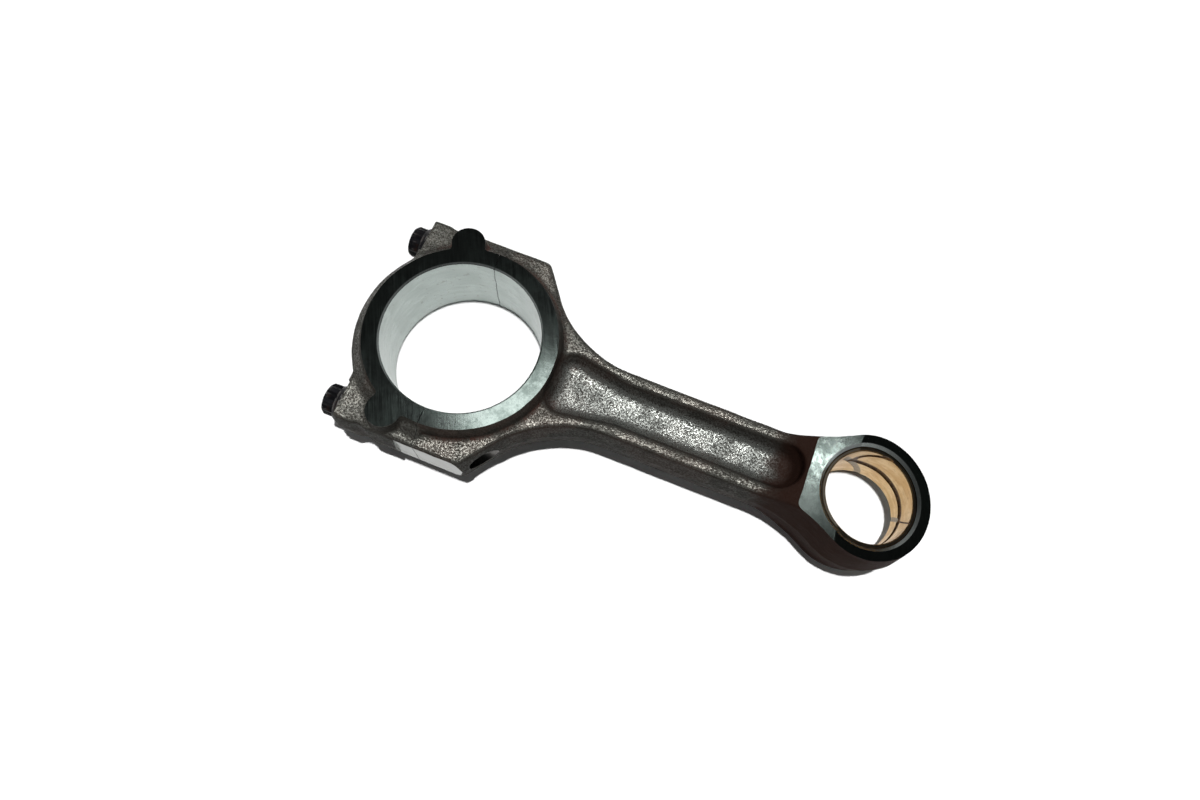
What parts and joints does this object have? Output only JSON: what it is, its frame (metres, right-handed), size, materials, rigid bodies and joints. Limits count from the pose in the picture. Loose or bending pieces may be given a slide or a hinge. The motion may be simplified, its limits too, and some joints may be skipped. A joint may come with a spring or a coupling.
{
  "type": "connecting rod",
  "caption": "Forged I-section connecting rod with a cracked-off bearing cap on flange bolts and a bronze bush in its small end.",
  "frame": {"origin": "centre of the big-end bore at mid width, on the crankpin's axis", "axes": "+X from the big end to the small end, +Z along both bores and up when the rod lies flat, +Y across the rod"},
  "size_m": [0.2734, 0.1084, 0.0396],
  "materials": {
    "rod_forging": "shot-blasted forging, ground faces and bore",
    "cap_forging": "shot-blasted forging, ground faces and bore",
    "bolt_steel": "black phosphate",
    "bush_bronze": "fine-bored bronze with oil grooves"
  },
  "bodies": {
    "rod": {"rod_body": "rod_forging", "small_end_bush": "bush_bronze"},
    "cap": {"bearing_cap": "cap_forging"},
    "bolt_left": {"cap_bolt_left": "bolt_steel"},
    "bolt_right": {"cap_bolt_right": "bolt_steel"}
  },
  "joints": [
    {"name": "cap_lift", "type": "slide", "parent": "rod", "child": "cap", "axis": [-1, 0, 0], "range_m": [0, 0.04]},
    {"name": "bolt_left_draw", "type": "slide", "parent": "cap", "child": "bolt_left", "axis": [-1, 0, 0], "range_m": [0, 0.065]},
    {"name": "bolt_right_draw", "type": "slide", "parent": "cap", "child": "bolt_right", "axis": [-1, 0, 0], "range_m": [0, 0.065]}
  ]
}
